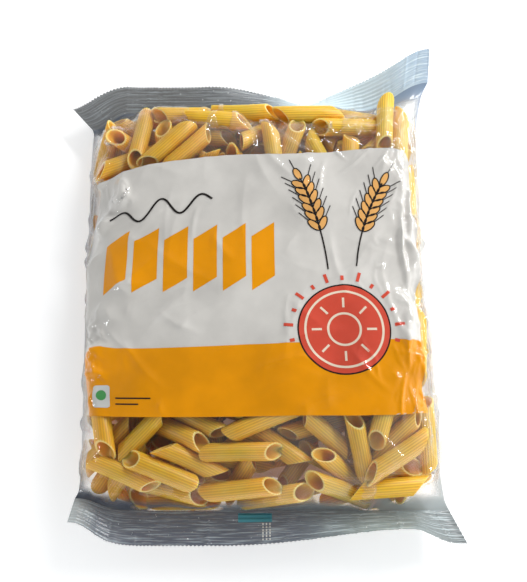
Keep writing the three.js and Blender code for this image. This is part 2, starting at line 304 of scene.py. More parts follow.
def bottom_seal(u):
    across = (FILM_WIDTH / 2) * u + 9 * ramp(-u, 0.7, 1) - ramp(u, 0.7, 1)
    forward = BODY_LENGTH / 2 - 6 * ramp(-u, 0.65, 1)
    level = SEAL_LEVEL - 2 - 3 * ramp(u, 0.85, 1) + 4 * ramp(-u, 0.7, 1)
    lean = 22 + 38 * ramp(u, -0.2, 0.75) - 40 * ramp(u, 0.76, 0.98) + 28 * ramp(-u, 0.55, 1)
    fan = 22 * ramp(u, 0.7, 1)
    return across, forward, level, lean, fan


def seal_at(end, u):
    """The seal values at each u: the top seal's where end is 1, the bottom one's where it is -1."""
    pairs = zip(top_seal(u), bottom_seal(u))
    return [np.where(end > 0, top, bottom) for top, bottom in pairs]


def seal_point(end, u, out):
    """The middle of a seal's thickness at a distance out from its root, and its upward normal."""
    across, forward, level, lean, fan = seal_at(end, u)
    lean = np.radians(lean)
    fan = np.radians(fan)
    flat = np.cos(fan) * out
    height = np.maximum(level + np.sin(lean) * flat, SEAL_THICKNESS + CRIMP_DEPTH)
    place = np.stack([across + np.sin(fan) * out, end * (forward + np.cos(lean) * flat), height], -1)
    normal = np.stack([0 * lean, -end * np.sin(lean), np.cos(lean)], -1)
    return place, normal


def seal_surface(end, u, out, side):
    place, normal = seal_point(end, u, out)
    crimp = -CRIMP_DEPTH * np.cos((2 * math.pi * CRIMP_LINES * out) / SEAL_LENGTH)
    return place + normal * np.expand_dims(crimp + (side * SEAL_THICKNESS) / 2, -1)


# The pasta. A row of ends holds the two ends of one piece's axis: six numbers.

def scattered_quills():
    state = SEED
    ends = np.zeros((QUILL_COUNT, 6))

    def draw():
        nonlocal state
        state = (state * 1664525 + 1013904223) % 4294967296
        return state / 4294967296

    for quill in range(QUILL_COUNT):
        x = (2 * draw() - 1) * SCATTER_ACROSS * (BODY_WIDTH / 2)
        y = (2 * draw() - 1) * SCATTER_ALONG * (BODY_LENGTH / 2)
        near = abs(y) / (BODY_LENGTH / 2)
        turned = 1 - END_TURN * near * near * near
        z = QUILL_RADIUS + draw() * (CROWN_HEIGHT - 2 * QUILL_RADIUS)
        square = 0.0
        while square > 1 or square < 0.05:
            dx = 2 * draw() - 1
            dy = turned * (2 * draw() - 1)
            dz = 0.35 * (2 * draw() - 1)
            square = dx * dx + dy * dy + dz * dz
        share = QUILL_HALF_AXIS / math.sqrt(square)
        ends[quill, :3] = x - dx * share, y - dy * share, z - dz * share
        ends[quill, 3:] = x + dx * share, y + dy * share, z + dz * share
    return ends


def keep_inside(points, radius=QUILL_RADIUS):
    """Moves points back inside the pillow, less a radius."""
    end = np.where(points[:, 1] < 0, -1, 1)
    _, forward, level, _, _ = seal_at(end, np.clip(points[:, 0] / (BODY_WIDTH / 2), -1, 1))
    v = np.clip(points[:, 1] / forward, -1, 1)
    half_width = BODY_WIDTH / 2 - radius - SIDE_MARGIN
    half_length = forward - radius - ROOT_MARGIN
    half_height = CROWN_HEIGHT - SIDE_LEVEL - radius
    x = (points[:, 0] - -BODY_SKEW * v) / half_width
    y = points[:, 1] / half_length
    z = (points[:, 2] - (SIDE_LEVEL + (level - SIDE_LEVEL) * sixth(v))) / half_height
    excess = sixteenth(x) + sixteenth(y) + z * z - 1
    gx = (16 * sixteenth(x)) / np.where(x == 0, 1, x * half_width)
    gy = (16 * sixteenth(y)) / np.where(y == 0, 1, y * half_length)
    gz = (2 * z) / half_height
    share = np.where(excess > 0, excess / (gx * gx + gy * gy + gz * gz + 1e-300), 0)
    points -= np.stack([gx, gy, gz], 1) * share[:, None]
    points[:, 2] = np.maximum(points[:, 2], radius + FILM_GAP)


def keep_length(ends):
    span = ends[:, 3:] - ends[:, :3]
    move = span * (0.5 - QUILL_HALF_AXIS / length_of(span))[:, None]
    ends[:, :3] += move
    ends[:, 3:] -= move


def closest(ends, a, b):
    """The share along each of two axes where they come closest, and the way from b to a there."""
    u = ends[a, 3:] - ends[a, :3]
    v = ends[b, 3:] - ends[b, :3]
    w = ends[a, :3] - ends[b, :3]
    uu, vv, uv, uw, vw = dot(u, u), dot(v, v), dot(u, v), dot(u, w), dot(v, w)
    skew = uu * vv - uv * uv
    crossing = skew > 1e-9
    s = np.where(crossing, np.clip((uv * vw - uw * vv) / np.where(crossing, skew, 1), 0, 1), 0.5)
    t = (uv * s + vw) / vv
    s = np.where(t < 0, np.clip(-uw / uu, 0, 1), s)
    s = np.where(t > 1, np.clip((uv - uw) / uu, 0, 1), s)
    t = np.clip(t, 0, 1)
    return s, t, w + u * s[:, None] - v * t[:, None]


def shove(share, step):
    """The moves of a piece's two ends that move the point at that share of its length by the step."""
    first = 1 - share
    scale = (1 / (first * first + share * share))[:, None]
    return np.concatenate([step * first[:, None] * scale, step * share[:, None] * scale], 1)


def packed_quills():
    """Lets the scattered pieces grow, push each other apart and slide along the walls until packed."""
    ends = scattered_quills()
    every_a, every_b = np.triu_indices(QUILL_COUNT, 1)
    reach = 2 * QUILL_RADIUS + PAIR_MARGIN
    for step in range(PACK_STEPS):
        if step % PAIR_REFRESH == 0:
            away = closest(ends, every_a, every_b)[2]
            near = dot(away, away) < reach * reach
            a, b = every_a[near], every_b[near]
        growth = min(1, 0.4 + (0.6 * step) / (PACK_GROWTH_SHARE * PACK_STEPS))
        apart = 2 * QUILL_RADIUS * growth
        s, t, away = closest(ends, a, b)
        square = dot(away, away)
        hit = (square < apart * apart) & (square >= 1e-12)
        distance = np.sqrt(square[hit])
        push = away[hit] * ((PACK_PUSH * (apart - distance)) / distance)[:, None]
        who = np.stack([a[hit], b[hit]], 1).ravel()
        how = np.stack([shove(s[hit], push), shove(t[hit], -push)], 1).reshape(-1, 6)
        moves = np.zeros_like(ends)
        np.add.at(moves, who, how)
        ends += moves
        keep_inside(ends[:, :3])
        keep_inside(ends[:, 3:])
        keep_length(ends)
    return ends


# The film, first on the solid's own grid

def ring_columns():
    """The column of each point of a row, over the front from left to right and back underneath."""
    front = np.arange(ACROSS + 1)
    return np.concatenate([front, front[::-1]])


def across_of(column, count):
    w = (2 * column) / count - 1
    return w * (1 + SIDE_CROWDING - SIDE_CROWDING * w * w)


def loose_film():
    u = across_of(ring_columns(), ACROSS)[None, :] + np.zeros((ALONG + 1, 1))
    v = (2 * np.arange(ALONG + 1) / ALONG - 1)[:, None] + np.zeros((1, RING))
    end = np.where(v < 0, -1, 1)
    side = np.where(np.arange(RING) <= ACROSS, 1, -1)[None, :]
    to_end = sixth(v) * v * v
    seal_across, seal_forward, seal_level, _, _ = seal_at(end, u)
    across = (BODY_WIDTH / 2) * u - BODY_SKEW * v
    forward = BODY_LENGTH / 2 + (seal_forward - BODY_LENGTH / 2) * to_end
    middle = SIDE_LEVEL + (seal_level - SIDE_LEVEL) * to_end
    swell = np.sqrt(np.maximum(0, 1 - sixth(v))) * np.sqrt(np.maximum(0, 1 - sixth(u)))
    level = middle + side * ((CROWN_HEIGHT - SIDE_LEVEL) * swell + SEAL_THICKNESS / 2)
    film = np.stack([across + (seal_across - across) * to_end, v * forward, np.maximum(0, level)], -1)
    for row in (0, ALONG):
        film[row] = seal_surface(end[row], u[row], 0.0, side[0])
    return film


def axis_offset(points, ends):
    """How far points are from the axes of pieces, drawn out to their tips."""
    stretch = 0.5 * (QUILL_HALF_REACH / QUILL_HALF_AXIS - 1)
    axis = ends[..., 3:] - ends[..., :3]
    away = points - ends[..., :3]
    share = np.clip(dot(away, axis) / dot(axis, axis), -stretch, 1 + stretch)
    return away - axis * share[..., None]


def by_distance(points, ends, pick):
    """What pick makes of the distances between points and pieces, for a part of the points at a time."""
    parts = np.array_split(points, max(1, len(points) // PART_SIZE))
    return np.concatenate([pick(length_of(axis_offset(part[:, None], ends[None]))) for part in parts])


def touching(points, ends, reach):
    """For each point the pieces that it can come to touch, in order, and which entries are real."""
    close = by_distance(points, ends, lambda distance: distance < reach)
    most = int(close.sum(1).max())
    order = np.argsort(~close, axis=1, kind="stable")[:, :most]
    return order, np.take_along_axis(close, order, 1)


def drawn_film(ends):
    """Draws the film tight: each point moves between its neighbours, then back out of the pasta."""
    loose = loose_film()
    film = loose.copy()
    quills, real = touching(loose.reshape(-1, 3), ends, QUILL_RADIUS + FILM_GAP + DRAW_REACH)
    clear = QUILL_RADIUS + FILM_GAP
    column = ring_columns()
    u = across_of(column, ACROSS)[None, :]
    v = (2 * np.arange(ALONG + 1) / ALONG - 1)[:, None]
    flat = (np.abs(u) <= PRESSED_SHARE) & (np.abs(v) <= PRESSED_SHARE)
    pressed = (np.arange(RING) > ACROSS)[None, :] & flat
    column_width = ((1 + SIDE_CROWDING) * BODY_WIDTH) / ACROSS
    at_seam = np.abs((BODY_WIDTH / 2) * u - SEAM_OFFSET) < column_width / 2
    pressed_level = np.where(at_seam, SEAM_STEP, 0) + 0 * v
    back = np.arange(RING - 1, ACROSS, -1)
    for _ in range(DRAW_STEPS):
        step = film.copy()
        beside = np.roll(film, 1, 1) + np.roll(film, -1, 1)
        step[1:-1] = 0.25 * (beside[1:-1] + (film[:-2] + film[2:]))
        points = step.reshape(-1, 3)
        for place in range(quills.shape[1]):
            offset = axis_offset(points, ends[quills[:, place]])
            distance = length_of(offset)
            push = np.where(real[:, place] & (distance < clear), (clear - distance) / distance, 0)
            points += offset * push[:, None]
        left = column == 0
        right = column == ACROSS
        step[:, left, 0] = np.minimum(step[:, left, 0], loose[:, left, 0] + SIDE_GIVE)
        step[:, right, 0] = np.maximum(step[:, right, 0], loose[:, right, 0] - SIDE_GIVE)
        step[..., 2] = np.maximum(step[..., 2], 0)
        step[..., 2] = np.where(pressed, pressed_level, step[..., 2])
        upper = step[:, :ACROSS + 1, 2]
        lower = step[:, back, 2]
        tight = upper - lower < SEAL_THICKNESS
        middle = np.maximum(0.5 * (upper + lower), SEAL_THICKNESS / 2)
        step[:, :ACROSS + 1, 2] = np.where(tight, middle + SEAL_THICKNESS / 2, upper)
        step[:, back, 2] = np.where(tight, middle - SEAL_THICKNESS / 2, lower)
        step[0], step[-1] = film[0], film[-1]
        film = step
    return film


def outline_middle(film):
    """The middle of the whole bag's outline, which the solid has at its origin."""
    u = across_of(np.arange(ACROSS + 1), ACROSS)
    out = SEAL_LENGTH * np.arange(2 * CRIMP_LINES + 1)[:, None] / (2 * CRIMP_LINES)
    parts = [film.reshape(-1, 3)]
    for end in (-1, 1):
        for side in (-1, 1):
            parts.append(seal_surface(end, u[None, :], out, side).reshape(-1, 3))
    points = np.concatenate(parts)
    middle = (points.min(0) + points.max(0)) / 2
    middle[2] = 0
    return middle


# The pieces of pasta, each with its own length, girth, slant and roll

def spread(random, low, high, count):
    return low + (high - low) * random.random(count)


def quill_shapes(ends):
    """The middle, axis, tip side and sizes of each piece. Most tips point level or down."""
    random = np.random.default_rng(SEED)
    axis = unit(ends[:, 3:] - ends[:, :3])
    axis = np.where(axis[:, 2:] < 0, -axis, axis)
    down = unit(axis * axis[:, 2:] - np.array([0.0, 0.0, 1.0]))
    side = np.cross(axis, down)
    roll = np.radians(spread(random, -ROLL_REACH, ROLL_REACH, len(ends)))[:, None]
    tip = down * np.cos(roll) + side * np.sin(roll)
    return {
        "middle": (ends[:, :3] + ends[:, 3:]) / 2,
        "axis": axis,
        "tip": tip,
        "side": np.cross(axis, tip),
        "half": QUILL_HALF_REACH * spread(random, 0.92, 1.03, len(ends)),
        "radius": QUILL_RADIUS * spread(random, 0.93, 1.0, len(ends)),
        "slant": spread(random, 0.85, 1.1, len(ends)),
        "bend": spread(random, -0.5, 0.5, len(ends)),
        "tone": spread(random, 0, 1, len(ends)),
    }


def settle_tips(shapes):
    """Moves pieces so that their tips leave the pillow less and none reaches into the table."""
    middle = shapes["middle"]
    half, radius, slant = (shapes[key][:, None] for key in ("half", "radius", "slant"))
    reach = shapes["axis"] * (half + slant * radius) + shapes["tip"] * radius
    for way in (-1, 1, -1):
        tips = middle + way * reach
        inside = tips.copy()
        keep_inside(inside, TIP_RADIUS)
        middle += inside - tips
    fall = np.abs(shapes["axis"][:, 2:]) * half
    hang = radius * np.hypot(shapes["axis"][:, 2:] * slant + shapes["tip"][:, 2:], shapes["side"][:, 2:])
    middle[:, 2:] = np.maximum(middle[:, 2:], FILM_GAP + fall + hang)


def settled_ends(shapes):
    reach = shapes["axis"] * QUILL_HALF_AXIS
    return np.concatenate([shapes["middle"] - reach, shapes["middle"] + reach], 1)


def nearest_quills(points, ends, count):
    return by_distance(points, ends, lambda distance: np.argpartition(distance, count, axis=1)[:, :count])


def gap_to_pasta(points, ends):
    return by_distance(points, ends, lambda distance: distance.min(1)) - QUILL_RADIUS


def push_out(points, shapes, nearest):
    """Moves points of the film out of the slanted tubes that they are in."""
    for place in range(nearest.shape[1]):
        which = nearest[:, place]
        axis, tip, side = (shapes[key][which] for key in ("axis", "tip", "side"))
        half, radius, slant = (shapes[key][which] for key in ("half", "radius", "slant"))
        away = points - shapes["middle"][which]
        along, y = dot(away, axis), dot(away, side)
        x = dot(away, tip) - shapes["bend"][which] * (1 - (along / half) ** 2)
        tilt = np.sqrt(1 + slant * slant)
        out = np.sqrt(x * x + y * y) + 1e-9
        depths = np.stack([
            out - radius - FINE_GAP,
            (along - slant * x - half) / tilt - FINE_GAP,
            (slant * x - along - half) / tilt - FINE_GAP,
        ])
        ways = np.stack([
            (tip * x[:, None] + side * y[:, None]) / out[:, None],
            (axis - tip * slant[:, None]) / tilt[:, None],
            (tip * slant[:, None] - axis) / tilt[:, None],
        ])
        face = depths.argmax(0)
        rows = np.arange(len(points))
        depth = np.minimum(depths[face, rows], 0)
        points -= ways[face, rows] * depth[:, None]


# The film again, on a finer grid

def spline_weights(count_in, count_out):
    """What each point of a line adds to each point of a finer smooth curve through it."""
    place = np.linspace(0, count_in - 1, count_out)
    first = np.minimum(place.astype(int), count_in - 2)
    f = place - first
    weights = np.zeros((count_out, count_in))
    shares = {
        -1: -0.5 * f + f ** 2 - 0.5 * f ** 3,
        0: 1 - 2.5 * f ** 2 + 1.5 * f ** 3,
        1: 0.5 * f + 2 * f ** 2 - 1.5 * f ** 3,
        2: -0.5 * f ** 2 + 0.5 * f ** 3,
    }
    for offset, share in shares.items():
        np.add.at(weights, (np.arange(count_out), np.clip(first + offset, 0, count_in - 1)), share)
    return weights


def resampled(grid, columns):
    down = spline_weights(grid.shape[0], FINE_ALONG + 1)
    along = spline_weights(grid.shape[1], columns + 1)
    return np.einsum("ri,ijk,cj->rck", down, grid, along)


def close_ends(grid):
    """Brings the film's two end rows onto the middle of the seals, which it runs into."""
    columns = grid.shape[1] - 1
    u = across_of(np.arange(columns + 1) * (ACROSS / columns), ACROSS)
    v = 2 * np.arange(FINE_ALONG + 1) / FINE_ALONG - 1
    for end, row in ((-1, 0), (1, -1)):
        root = seal_point(end, u, 0.0)[0]
        share = ramp(end * v, 0.95, 1)[:, None, None]
        grid += (root - grid[row])[None] * share
    return grid


def grid_normals(grid):
    """Unit normals of a grid whose columns run to the right and rows run up the bag."""
    across = np.gradient(grid, axis=1)
    along = np.gradient(grid, axis=0)
    return unit(np.cross(across, along))


def drawn_fine(film, ends, shapes):
    """Draws one layer of the film over the slanted tubes, with its two end rows kept."""
    nearest = nearest_quills(film.reshape(-1, 3), ends, 5)
    for _ in range(FINE_STEPS):
        step = film.copy()
        beside = film[1:-1, :-2] + film[1:-1, 2:]
        step[1:-1, 1:-1] = 0.25 * (beside + film[:-2, 1:-1] + film[2:, 1:-1])
        push_out(step.reshape(-1, 3), shapes, nearest)
        step[0], step[-1] = film[0], film[-1]
        film = step
    return film


# Creases of the film. Places on the film are s across and t along, in millimetres from its middle.

def film_places(front):
    """s of each column and t of each row, as lengths along the film itself."""
    across = length_of(np.diff(front, axis=1))[FINE_ALONG // 3:2 * FINE_ALONG // 3].mean(0)
    along = length_of(np.diff(front, axis=0))[:, FINE_FRONT // 3:2 * FINE_FRONT // 3].mean(1)
    s = np.concatenate([[0], np.cumsum(across)])
    t = np.concatenate([[0], np.cumsum(along)])
    return s - s[-1] / 2, t - t[-1] / 2


CREASE_BOW = 0.12  # of half a crease's length
CREASE_FIELDS = (
    # count, s range, t range, angle range in degrees, length range, width range, height range
    (70, (-10, 98), (80, 118), (20, 140), (6, 26), (1.2, 2.4), (0.4, 1.3)),
    (14, (10, 95), (82, 112), (10, 170), (10, 34), (2.0, 3.6), (0.8, 1.8)),
    (16, (-96, -20), (84, 112), (50, 150), (6, 18), (1.1, 2.2), (0.12, 0.35)),
    (70, (80, 102), (-90, 84), (60, 125), (7, 34), (1.1, 2.6), (0.35, 1.1)),
    (18, (82, 100), (-100, 90), (72, 112), (25, 70), (2.2, 4.0), (1.2, 2.4)),
    (9, (64, 92), (-66, -16), (40, 130), (12, 36), (1.8, 3.2), (0.7, 1.5)),
    (36, (-102, -84), (-110, 80), (60, 120), (8, 26), (1.2, 2.4), (0.3, 0.8)),
    (26, (-93, -80), (-50, -20), (0, 180), (5, 16), (1.4, 2.6), (0.6, 1.5)),
    (44, (-96, 60), (-118, -72), (-30, 210), (5, 20), (1.1, 2.2), (0.2, 0.6)),
    (60, (-85, 85), (-66, 76), (0, 180), (14, 56), (2.4, 6.0), (0.3, 0.85)),
    (46, (50, 90), (-70, 78), (20, 130), (5, 20), (1.1, 2.0), (0.2, 0.6)),
)
CREASE_FANS = (
    # count, s and t that they spread from, angle range, distance range, width range, height range
    (30, (101, -122), (72, 170), (4, 78), (1.2, 2.8), (0.5, 1.4)),
    (22, (103, 120), (186, 262), (6, 84), (1.2, 2.8), (0.4, 1.2)),
    (14, (-102, -118), (8, 100), (4, 44), (1.1, 2.2), (0.3, 0.9)),
    (10, (-98, 112), (-84, -6), (5, 40), (1.1, 2.2), (0.2, 0.7)),
)


def crease(s, t, s0, t0, turn, reach, width, peak):
    """A short ridge with a sharp crest and a slight bow, centred at a place."""
    ds, dt = s[None, :] - s0, t[:, None] - t0
    along = (ds * math.cos(turn) + dt * math.sin(turn)) / reach
    bow = CREASE_BOW * reach * (along * along - 1)
    off = np.abs(dt * math.cos(turn) - ds * math.sin(turn) + bow) / width
    return peak * np.maximum(0, 1 - off) ** 1.5 * np.maximum(0, 1 - along * along)


def crease_heights(s, t):
    random = np.random.default_rng(SEED + 1)
    height = np.zeros((len(t), len(s)))
    for count, s_range, t_range, turns, lengths, widths, heights in CREASE_FIELDS:
        for _ in range(count):
            s0, t0 = random.uniform(*s_range), random.uniform(*t_range)
            turn, reach = math.radians(random.uniform(*turns)), random.uniform(*lengths) / 2
            height += crease(s, t, s0, t0, turn, reach, random.uniform(*widths), random.uniform(*heights))
    for count, (s0, t0), turns, distances, widths, heights in CREASE_FANS:
        for _ in range(count):
            turn = math.radians(random.uniform(*turns))
            near, far = sorted(random.uniform(*distances) for _ in range(2))
            middle, reach = (near + far) / 2, (far - near) / 2 + 3
            s1, t1 = s0 + middle * math.cos(turn), t0 + middle * math.sin(turn)
            height += crease(s, t, s1, t1, turn, reach, random.uniform(*widths), random.uniform(*heights))
    return height


def rims_of(shapes):
    """Points round both slanted ends of every piece."""
    turn = 2 * math.pi * np.arange(RIM_POINTS) / RIM_POINTS
    sizes = {key: values.reshape(len(values), 1, -1) for key, values in shapes.items()}
    x, y = sizes["radius"] * np.cos(turn)[:, None], sizes["radius"] * np.sin(turn)[:, None]
    across = sizes["middle"] + sizes["tip"] * x + sizes["side"] * y
    ends = [across + sizes["axis"] * (way * sizes["half"] + sizes["slant"] * x) for way in (-1, 1)]
    return np.concatenate(ends, 1).reshape(-1, 3)


def tented(film, rims, outward):
    """Lifts one layer of the film towards the rims that would pierce it, away from the seals."""
    film = film.copy()
    rims = rims[np.abs(rims[:, 1]) < TENT_HALF]
    for _ in range(TENT_ROUNDS):
        places = film.reshape(-1, 3)
        normals = outward * grid_normals(film).reshape(-1, 3)
        tree = KDTree(len(places))
        for index, place in enumerate(places):
            tree.insert(place, index)
        tree.balance()
        nearest = np.array([tree.find(rim)[1] for rim in rims])
        away = rims - places[nearest]
        pierces = (dot(away, normals[nearest]) > -TENT_GAP) & (length_of(away) < TENT_REACH)
        lift = np.zeros(len(places))
        for rim in rims[pierces]:
            away = rim - places
            depth = dot(away, normals)
            aside = np.sqrt(np.maximum(dot(away, away) - depth * depth, 0))
            share = 1 - ramp(aside, TENT_CORE * TENT_REACH, TENT_REACH)
            near = np.abs(depth) < TENT_LIMIT
            lift = np.where(near, np.maximum(lift, (depth + TENT_GAP) * share), lift)
        places += normals * lift[:, None]
    return film


class FrontFilm:
    """The printed side of the bag as a fine grid, and the way from a place on the film to a point."""

    def __init__(self, ends, shapes, coarse):
        front = drawn_fine(close_ends(resampled(coarse[:, :ACROSS + 1], FINE_FRONT)), ends, shapes)
        self.s, self.t = film_places(front)
        front = tented(front, rims_of(shapes), 1)
        edge = ramp(from_ends(self.t), 0, 6)[:, None]
        edge = edge * ramp(from_ends(self.s), 0, 4)[None, :]
        height = crease_heights(self.s, self.t) * edge
        self.grid = front + grid_normals(front) * height[..., None]
        self.normals = grid_normals(self.grid)

    def point(self, s, t, depth):
        """Points of the film at those places, moved inward by the depth."""
        column = np.interp(s, self.s, np.arange(len(self.s)))
        row = np.interp(t, self.t, np.arange(len(self.t)))
        c = np.minimum(column.astype(int), len(self.s) - 2)
        r = np.minimum(row.astype(int), len(self.t) - 2)
        fc, fr = (column - c)[..., None], (row - r)[..., None]

        def mixed(values):
            low = values[r, c] * (1 - fc) + values[r, c + 1] * fc
            high = values[r + 1, c] * (1 - fc) + values[r + 1, c + 1] * fc
            return low * (1 - fr) + high * fr

        return mixed(self.grid) - unit(mixed(self.normals)) * depth


# Meshes

def mesh_piece(name, points, faces, material, attributes=None):
    """A new object from points in millimetres, which rides on the bag."""
    mesh = bpy.data.meshes.new(name)
    faces = np.asarray(faces, np.int32)
    points = np.asarray(points, float).reshape(-1, 3) - bag_middle
    mesh.vertices.add(len(points))
    mesh.vertices.foreach_set("co", (points * METRE).astype(np.float32).ravel())
    corners = faces.shape[1]
    mesh.loops.add(faces.size)
    mesh.loops.foreach_set("vertex_index", faces.ravel())
    mesh.polygons.add(len(faces))
    mesh.polygons.foreach_set("loop_start", np.arange(len(faces), dtype=np.int32) * corners)
    mesh.polygons.foreach_set("use_smooth", np.full(len(faces), True))
    for key, values in (attributes or {}).items():
        mesh.attributes.new(key, "FLOAT", "POINT").data.foreach_set("value", values.astype(np.float32))
    mesh.materials.append(material)
    mesh.update(calc_edges=True)
    mesh.validate()
    piece = add_object(name, mesh)
    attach(piece, "root")
    return piece


def grid_faces(rows, columns, start=0):
    """Faces of a grid of points, wound so that they face up where columns run right and rows run up."""
    at = start + np.arange(rows - 1)[:, None] * columns + np.arange(columns - 1)[None, :]
    return np.stack([at, at + 1, at + 1 + columns, at + columns], -1).reshape(-1, 4)


def joined(parts):
    """One list of points and one of faces from several."""
    points, faces, start = [], [], 0
    for part_points, part_faces in parts:
        part_points = part_points.reshape(-1, 3)
        points.append(part_points)
        faces.append(part_faces + start)
        start += len(part_points)
    return np.concatenate(points), np.concatenate(faces)


# The pasta's mesh

def tube_template():
    """Angle, place along and wall depth of a tube's points, as one closed skin from outside to inside."""
    around = 2 * RIDGES
    turn = 2 * math.pi * np.arange(around) / around
    rim = LIP / WALL
    lines = [(share, 0.0, 0.0) for share in np.linspace(-1, 1, 4)]
    lines += [(1, rim * 0.5, 0.5), (1, rim * 2, 1), (1, 1 - rim, 1), (1, 1, 0.5)]
    lines += [(share, 1, 0.0) for share in (0.9, -0.9)]
    lines += [(-1, 1, 0.5), (-1, 1 - rim, 1), (-1, rim * 2, 1), (-1, rim * 0.5, 0.5)]
    share, depth, lip = (np.array(column)[:, None] + 0 * turn for column in zip(*lines))
    ridge = np.cos(RIDGES * turn) * 0.5 - 0.5
    ridge = np.where(depth == 0, 1, np.where(depth < 0.5, 0.5, 0)) * ridge
    at = np.arange(len(lines))[:, None] * around
    following = np.roll(np.arange(len(lines)), -1)[:, None] * around
    here, there = np.arange(around)[None, :], (np.arange(around)[None, :] + 1) % around
    faces = np.stack([at + here, at + there, following + there, following + here], -1).reshape(-1, 4)
    return turn + 0 * share, share, depth, lip, ridge, faces


def quill_mesh(name, shapes, which, material):
    turn, share, depth, lip, ridge, faces = tube_template()
    sizes = {key: values[which] for key, values in shapes.items()}

    def each(key):
        return sizes[key].reshape(len(which), 1, 1)

    radius = each("radius") - WALL * depth + RIDGE_DEPTH * ridge
    x, y = radius * np.cos(turn), radius * np.sin(turn)
    end = np.where(np.abs(share) == 1, np.sign(share), 0)
    reach = each("half") - LIP_DROP * (1 - lip) * np.abs(end)
    along = share * reach + each("slant") * x
    x = x + each("bend") * (1 - (along / each("half")) ** 2)
    points = sizes["middle"][:, None, None, :]
    for value, key in ((along, "axis"), (x, "tip"), (y, "side")):
        points = points + value[..., None] * sizes[key][:, None, None, :]
    count = turn.size
    faces = (faces[None] + count * np.arange(len(which))[:, None, None]).reshape(-1, 4)
    # groove_shade and inside carry painted shade: darker grooves between the ridges and a darker inside of
    # each tube.
    attributes = {
        "tone": np.repeat(sizes["tone"], count),
        "rim": np.tile(((lip > 0) & (depth > 0)).astype(float).ravel(), len(which)),
        "inside": np.tile((depth == 1).astype(float).ravel(), len(which)),
        "groove_shade": np.tile(-ridge.ravel(), len(which)),
    }
    return mesh_piece(name, points, faces, material, attributes)


# Film pieces

def painted_film_shade(front, back, ends, bare):
    """How opaque the painted shade on the film is: a grey where it stands off the pasta, and towards its
    sides and the seals, painted for the shadowed floor seen through it and dark surroundings reflected in
    it.
    """
    points = np.concatenate([front.grid.reshape(-1, 3), back.reshape(-1, 3)])
    gap = gap_to_pasta(points, ends)
    free = GAP_SHADE * ramp(gap, GAP_START, GAP_END) * bare
    u_front, u_back = (across_of(np.linspace(0, ACROSS, n + 1), ACROSS) for n in (FINE_FRONT, FINE_BACK))
    to_side = np.concatenate([np.tile(np.abs(u), FINE_ALONG + 1) for u in (u_front, u_back)])
    near = 1 - ramp(from_ends(front.t), *ROOT_REACH)
    to_root = np.concatenate([np.repeat(near, FINE_FRONT + 1), np.repeat(near, FINE_BACK + 1)])
    root = ROOT_SHADE * to_root * ramp(gap, *ROOT_GAP)
    return np.maximum(np.maximum(free, root), SIDE_SHADE * ramp(to_side, SIDE_START, 1.0))


def film_piece(front, back, painted_shade, bare, material):
    """The tube of film: the front and the back grid, joined along the two sides."""
    rows, columns = front.shape[:2]
    back_columns = back.shape[1]
    start = rows * columns
    here = np.arange(rows - 1)
    left = np.stack([here * columns, (here + 1) * columns,
                     start + (here + 1) * back_columns, start + here * back_columns], -1)
    right = left[:, ::-1] + np.array([back_columns - 1, back_columns - 1, columns - 1, columns - 1])
    faces = [grid_faces(rows, columns), grid_faces(rows, back_columns, start)[:, ::-1], left, right]
    points = np.concatenate([front.reshape(-1, 3), back.reshape(-1, 3)])
    # Painted light: the back film where it lies on the table gets an ochre coat, the glow of lit pasta in
    # the gaps.
    painted_gap_glow = ((np.arange(len(points)) >= start) & (points[:, 2] < GAP_GLOW_LEVEL)).astype(float)
    attributes = {"painted_shade": painted_shade, "bare": bare, "painted_gap_glow": painted_gap_glow}
    return mesh_piece("film", points, np.concatenate(faces), material, attributes)


def seal_sheet(end, u, out):
    """Points of one crimped seal: a wavy sheet with small puckers across it."""
    place, normal = seal_point(end, u, out)
    crimp = SEAL_WAVE * np.sin(2 * math.pi * FINE_CRIMPS * out / SEAL_LENGTH)
    random = np.random.default_rng(SEED + 2 + end)
    for _ in range(SEAL_PUCKERS):
        at, width = random.uniform(-1, 1), random.uniform(0.006, 0.02)
        at = math.copysign(abs(at) ** 0.5, at)
        lean, height = random.uniform(-0.03, 0.03), random.uniform(-0.5, 0.5)
        share = 1 - np.clip(np.abs(u - at - lean * out / SEAL_LENGTH) / width, 0, 1)
        crimp = crimp + height * share * share
    points = place + normal * (crimp * ramp(out, 0, 2))[..., None]
    points[..., 2] = np.maximum(points[..., 2], SEAL_THICKNESS / 2)
    return points, normal


def seal_piece(name, end, material):
    """A seal, from the root row of the film out to its saw teeth."""
    columns = FINE_FRONT + 1
    u = across_of(np.arange(columns) * (ACROSS / FINE_FRONT), ACROSS)[None, :]
    out = SEAL_LENGTH * np.linspace(0, 1, 4 * FINE_CRIMPS + 1)[:, None] + 0 * u
    out[-1] += np.where(np.arange(columns) % 2, TOOTH, -TOOTH)
    points = seal_sheet(end, u + 0 * out, out)[0]
    faces = grid_faces(*out.shape)
    if end < 0:
        faces = faces[:, ::-1]
    attributes = {"along": (u + 0 * out).ravel(), "out": out.ravel() / SEAL_LENGTH}
    return mesh_piece(name, points, faces, material, attributes)


def seal_marks(inks):
    """A plain field of colour and a few dashed lines on the bottom seal, as printers leave there."""

    def mark(x_low, x_high, out_low, out_high):
        u = (steps(x_low, x_high, MARK_STEP) + bag_middle[0]) / (FILM_WIDTH / 2)
        out = steps(out_low, out_high, MARK_STEP)[:, None] + 0 * u
        points, normal = seal_sheet(-1, u + 0 * out, out)
        return points + normal * MARK_LIFT, grid_faces(*out.shape)[:, ::-1]

    dashes = [
        mark(x, x + DASH_WIDTH, out, out + DASH_LENGTH)
        for x in MARK_LINES
        for out in np.arange(*DASH_OUTS)
    ]
    for ink, parts in (("teal", [mark(*MARK_FIELD)]), ("pale", dashes)):
        points, faces = joined(parts)
        mesh_piece("seal_mark_" + ink, points, faces, inks[ink])


